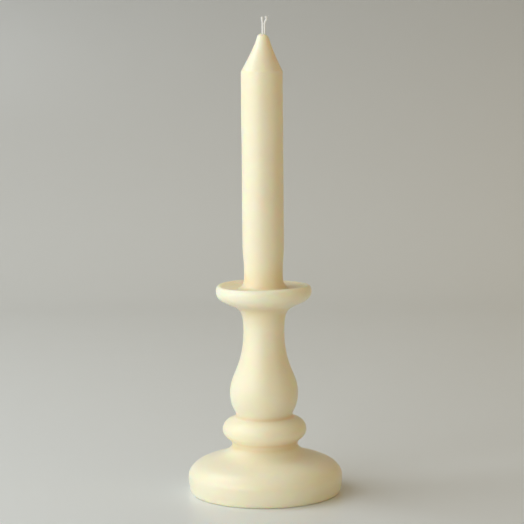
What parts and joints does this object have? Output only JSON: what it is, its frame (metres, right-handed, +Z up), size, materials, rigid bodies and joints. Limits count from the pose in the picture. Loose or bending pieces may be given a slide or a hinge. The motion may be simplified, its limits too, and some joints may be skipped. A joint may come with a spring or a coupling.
{
  "type": "candlestick candle",
  "caption": "Ivory wax candlestick with a round ogee foot, bead ring, baluster stem and shallow drip pan, holding a tall tapered wax candle with a two-cord cotton wick.",
  "frame": {"origin": "centre of the foot's flat underside, on the surface that it stands on", "axes": "+Z up along the axis of the stand and the candle; the two wick cords lie side by side along X"},
  "size_m": [0.0822, 0.0822, 0.2527],
  "materials": {
    "wax": "satin, slightly translucent ivory candle wax",
    "cotton": "undyed twisted cotton cord, waxed"
  },
  "bodies": {
    "holder": {"stand": "wax"},
    "candle": {"taper": "wax", "foot_bead": "wax", "wick_left": "cotton", "wick_right": "cotton"}
  },
  "joints": [
    {"name": "candle_lift", "type": "slide", "parent": "holder", "child": "candle", "axis": [0, 0, 1], "range_m": [0, 0.03]}
  ]
}
